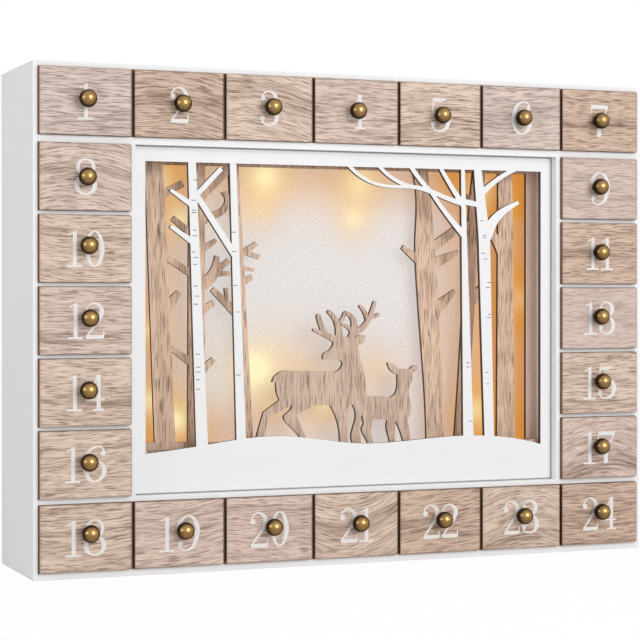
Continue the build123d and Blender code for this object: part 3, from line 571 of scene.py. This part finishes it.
for day in figures:
    low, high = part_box(f"knob_{day:02d}")
    at = Vector(((low[0] + high[0]) / 2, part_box(f"drawer_{day:02d}")[0][1], (low[2] + high[2]) / 2))
    knob = bmesh.new()
    bmesh.ops.create_uvsphere(knob, u_segments=40, v_segments=24, radius=ball)
    bmesh.ops.translate(knob, vec=(0.0, 0.0, stand), verts=knob.verts)
    seat = bmesh.ops.create_cone(
        knob, cap_ends=True, segments=40, radius1=collar, radius2=collar * 0.94, depth=collar_height
    )["verts"]
    bmesh.ops.translate(knob, vec=(0.0, 0.0, collar_height / 2), verts=seat)
    stem = bmesh.ops.create_cone(
        knob, cap_ends=True, segments=40, radius1=neck_foot, radius2=neck, depth=neck_height
    )["verts"]
    bmesh.ops.translate(knob, vec=(0.0, 0.0, collar_height + neck_middle), verts=stem)
    screw = bmesh.ops.create_cone(
        knob, cap_ends=True, segments=32, radius1=screw_dome, radius2=screw_rim, depth=screw_height
    )["verts"]
    bmesh.ops.translate(knob, vec=(0.0, 0.0, -front_thickness - screw_height / 2), verts=screw)
    bmesh.ops.rotate(knob, matrix=Matrix.Rotation(radians(90.0), 3, "X"), verts=knob.verts)
    bmesh.ops.translate(knob, vec=at, verts=knob.verts)
    for face in knob.faces:
        face.smooth = True
    piece = finish_piece(f"brass_knob_{day:02d}", knob, aged_brass, f"drawer_{day:02d}")
    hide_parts(f"knob_{day:02d}")

# Scene boards: the birches are painted white, the deer and the forest are left as plain veneered
# board. All three are laser cut, so every cut edge is scorched dark.
birch_white = Finish("birch_white", roughness=0.5)
edge_char = birch_white.noise(birch_white.x / 1.4, birch_white.y / 0.7, birch_white.z / 1.4, 2.0)
cut = 1.0 - abs(birch_white.facing_y()).above(0.5)
birch_cloud = birch_white.noise(birch_white.x / 40.0, 0.0, birch_white.z / 40.0, 3.0)
painted = birch_white.mix(birch_cloud, (0.797, 0.798, 0.806, 1.0), (0.830, 0.828, 0.830, 1.0))
charred = birch_white.mix(edge_char, (0.045, 0.024, 0.014, 1.0), (0.110, 0.060, 0.033, 1.0))
# The thin dark line along the rim of the birch board is painted shadow in the gap round it.
(middle_x, middle_z), (half_width, half_height) = front_measures("birch_panel")
rim = (half_width - abs(birch_white.x - middle_x)).least(half_height - abs(birch_white.z - middle_z))
rim_gap_shadow = 1.0 - birch_white.ease(rim, 0.25, 0.85)
painted = birch_white.mix(rim_gap_shadow * 0.65, painted, (0.060, 0.055, 0.053, 1.0))
feed(birch_white.shader.inputs["Base Color"], birch_white.mix(cut, painted, charred))
finish_node("birch_panel", birch_white)
strand_brown, border_painted_light = (0.165, 0.095, 0.060, 1.0), (0.860, 0.670, 0.560, 1.0)
border_x = 127.5
for node, seed, pale, dark in (
    ("deer_layer", 11.0, (0.640, 0.468, 0.362, 1.0), (0.245, 0.146, 0.092, 1.0)),
    ("forest_layer", 23.0, (0.770, 0.548, 0.404, 1.0), (0.300, 0.174, 0.104, 1.0)),
):
    board = Finish(node + "_wood", roughness=0.6)
    lean = board.noise(board.x / 18.0, board.z / 60.0, seed, 1.0) - 0.5
    upright = board.x + 3.0 * lean
    strands = board.ease(board.noise(upright / 0.50, board.z / 13.0, seed, 1.0), 0.54, 0.65)
    drifts = board.ease(board.noise(upright / 1.7, board.z / 20.0, seed + 4.0, 2.0), 0.42, 0.72)
    broad = board.noise(upright / 6.0, board.z / 70.0, seed + 8.0, 2.0)
    shade = 0.42 * drifts + (broad - 0.45)
    timber = board.mix(shade.most(0.0).least(1.0), pale, dark)
    timber = board.mix(strands * (0.45 + 0.60 * broad), timber, strand_brown)
    # Past border_x both boards are painted paler: painted light on the border strips, which lie in shade at
    # the sides of the window.
    timber = board.mix(abs(board.x).above(border_x) * 0.8, timber, border_painted_light)
    edge_char = board.noise(board.x / 1.4, board.y / 0.7, board.z / 1.4, 2.0)
    charred = board.mix(edge_char, (0.040, 0.021, 0.012, 1.0), (0.105, 0.055, 0.030, 1.0))
    cut = 1.0 - abs(board.facing_y()).above(0.5)
    feed(board.shader.inputs["Base Color"], board.mix(cut, timber, charred))
    board.bump(1.0 - strands, 0.05 * mm)
    finish_node(node, board)

# Bark marks: short grey-brown dashes, burnt into the painted birch trunks by the same laser. Each
# place is millimetres right and up.
bark_marks = (
    (-100.1, 231.9), (-101.2, 219.9), (-101.4, 214.0), (-101.2, 212.6), (-100.7, 202.2), (-100.7, 199.0),
    (-101.5, 189.3), (-99.9, 185.9), (-100.5, 181.9), (-100.3, 169.0), (-99.4, 163.1), (-100.1, 158.3),
    (-99.0, 128.6), (-98.6, 120.9), (-98.7, 118.0), (-98.9, 113.4), (-98.6, 107.8), (-76.2, 201.3),
    (-76.0, 189.7), (-75.3, 169.5), (-73.9, 153.6), (-73.3, 115.9), (79.8, 121.2), (79.8, 118.6),
    (81.5, 84.5), (89.2, 210.5), (91.2, 201.4), (91.2, 200.0), (90.2, 190.1), (91.9, 186.5),
    (94.8, 171.7), (93.5, 168.5), (95.1, 151.7), (94.3, 149.7), (93.1, 114.8), (93.7, 107.7),
)
burn = Finish("burnt_mark", roughness=0.8)
feed(burn.shader.inputs["Base Color"], (0.105, 0.095, 0.090, 1.0))
panel_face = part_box("birch_panel")[0][1]
mark_depth, mark_height = 0.02 * mm, 0.42 * mm
dice = random.Random(24)
bark = bmesh.new()
for mark_x, mark_z in bark_marks:
    length = dice.uniform(2.1, 3.1) * mm
    dash = bmesh.ops.create_cube(bark, size=1.0)["verts"]
    bmesh.ops.scale(bark, vec=(length, mark_depth, mark_height), verts=dash)
    bmesh.ops.translate(bark, vec=(mark_x * mm, panel_face - mark_depth / 2, mark_z * mm), verts=dash)
finish_piece("bark_marks", bark, burn, "case")

# Backdrop: undyed woven cotton, stretched flat over the last spacer frame. The lamps behind it
# shine through as soft warm pools.
cotton = Finish("lit_cotton", roughness=0.9, emission_strength=1.0)
low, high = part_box("backdrop_cloth")
# Each glow: millimetres right and up, its spread, and how bright the lamp itself shows.
glows = (
    (-118.0, 233.0, 24.0, 0.7), (-102.0, 209.0, 18.0, 0.7), (-47.0, 237.0, 26.0, 1.0),
    (-52.0, 216.0, 20.0, 0.3), (16.3, 234.0, 26.0, 0.7), (12.0, 212.0, 20.0, 0.6),
    (100.0, 231.5, 22.0, 0.5), (129.0, 161.0, 20.0, 0.3), (-54.0, 118.0, 27.0, 1.3),
    (-44.0, 93.0, 15.0, 0.3), (-8.0, 94.0, 18.0, 0.5), (-121.0, 142.5, 16.0, 0.6),
    (-121.0, 100.5, 18.0, 0.7), (-105.0, 88.0, 20.0, 1.0), (96.5, 90.0, 22.0, 0.6),
    (28.0, 116.0, 24.0, 0.2), (-24.0, 112.0, 34.0, 0.15),
)
pools = 0.0
cores = 0.0
for glow_x, glow_z, spread, shine in glows:
    aside = cotton.x - glow_x
    aloft = cotton.z - glow_z
    away = (aside * aside + aloft * aloft) / (spread * spread)
    pools = pools + 1.0 / (1.0 + away).power(2.0)
    cores = cores + shine / (1.0 + 3.6 * away).power(1.6)
warp_thread = cotton.noise(cotton.x / 0.5, cotton.z / 1.4, 1.0, 1.0)
weft_thread = cotton.noise(cotton.x / 1.4, cotton.z / 0.5, 2.0, 1.0)
weave = cotton.ease(warp_thread + weft_thread, 0.7, 1.3)
# The light is warmest along the right, left and upper sides, and below to the left of the deer.
right_side = cotton.ease(cotton.x, 36.0, 118.0) * 0.85
left_side = cotton.ease(-cotton.x, 76.0, 124.0) * 0.55
upper_side = cotton.ease(cotton.z, 206.0, 240.0) * 0.42
beside_deer = 0.10 + 0.40 * cotton.ease(-cotton.x, 36.0, 84.0)
lower_side = cotton.ease(-cotton.z, -112.0, -78.0) * beside_deer
warmth = (right_side + left_side + upper_side + lower_side + pools * 0.40).least(1.0)
# Where the light is warm the base colour is painted orange as well: painted lamp light, not dye.
plain = cotton.mix(weave, (0.20, 0.196, 0.196, 1.0), (0.30, 0.294, 0.294, 1.0))
feed(cotton.shader.inputs["Base Color"], cotton.mix(warmth, plain, (0.30, 0.14, 0.030, 1.0)))
# The emission is a painted glow standing for the lamps' light through the cloth: even over the whole cloth,
# orange where the light is warm, and bright at the lamps' cores.
even_glow, lamplight = (0.545, 0.542, 0.554, 1.0), (0.50, 0.210, 0.034, 1.0)
lamp_core = (0.81, 0.76, 0.45, 1.0)
lit = cotton.mix(cores.least(1.0), cotton.mix(warmth, even_glow, lamplight), lamp_core)
threads = cotton.mix(weave, (0.92, 0.92, 0.92, 1.0), (1.08, 1.08, 1.08, 1.0))
feed(cotton.shader.inputs["Emission Color"], cotton.tint(lit, threads))
cotton.bump(weave, 0.12 * mm)
cloth = bmesh.new()
hem = 0.2 * mm
add_board(cloth, low, high, hem)
backdrop = finish_piece("stretched_cotton", cloth, cotton, "case")
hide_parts("backdrop_cloth")

# Light string: a clear flat lead with small warm lamps. It lies along the inside of the back panel,
# and the lamps stand forward of the lead.
lamp_back = 31.4
clear_lead = Finish("clear_lead", roughness=0.3, emission_strength=1.0)
bulb = clear_lead.y.below(lamp_back)
jacket = clear_lead.mix(bulb, (0.62, 0.50, 0.34, 1.0), (0.90, 0.80, 0.55, 1.0))
feed(clear_lead.shader.inputs["Base Color"], jacket)
shining = clear_lead.mix(bulb, (0.0, 0.0, 0.0, 1.0), (1.0, 0.72, 0.34, 1.0))
feed(clear_lead.shader.inputs["Emission Color"], shining)
finish_node("led_string", clear_lead)

# Back: a sheet of brown hardboard let in behind the rim. The battery box, its door and its switch
# are moulded plastic, and the box sits in an opening of the sheet.
hardboard = Finish("hardboard", roughness=0.75)
mottle = hardboard.noise(hardboard.x / 3.0, hardboard.y / 3.0, hardboard.z / 3.0, 4.0, 0.65)
flecks = hardboard.noise(hardboard.x / 0.7, hardboard.y / 0.7, hardboard.z / 2.2, 2.0)
brown = hardboard.mix(mottle, (0.300, 0.185, 0.105, 1.0), (0.430, 0.285, 0.175, 1.0))
feed(
    hardboard.shader.inputs["Base Color"],
    hardboard.mix(hardboard.ease(flecks, 0.55, 0.75) * 0.5, brown, (0.200, 0.115, 0.065, 1.0)),
)
hardboard.bump(flecks, 0.05 * mm)
finish_node("back_panel", hardboard)
for node, tone in (
    ("battery_box", (0.640, 0.640, 0.625, 1.0)),
    ("battery_door", (0.650, 0.650, 0.635, 1.0)),
    ("switch_slider", (0.022, 0.022, 0.024, 1.0)),
):
    moulding = Finish(node + "_plastic", roughness=0.42)
    feed(moulding.shader.inputs["Base Color"], tone)
    spark = moulding.noise(moulding.x / 0.35, moulding.y / 0.35, moulding.z / 0.35, 1.0)
    moulding.bump(spark, 0.02 * mm)
    finish_node(node, moulding)
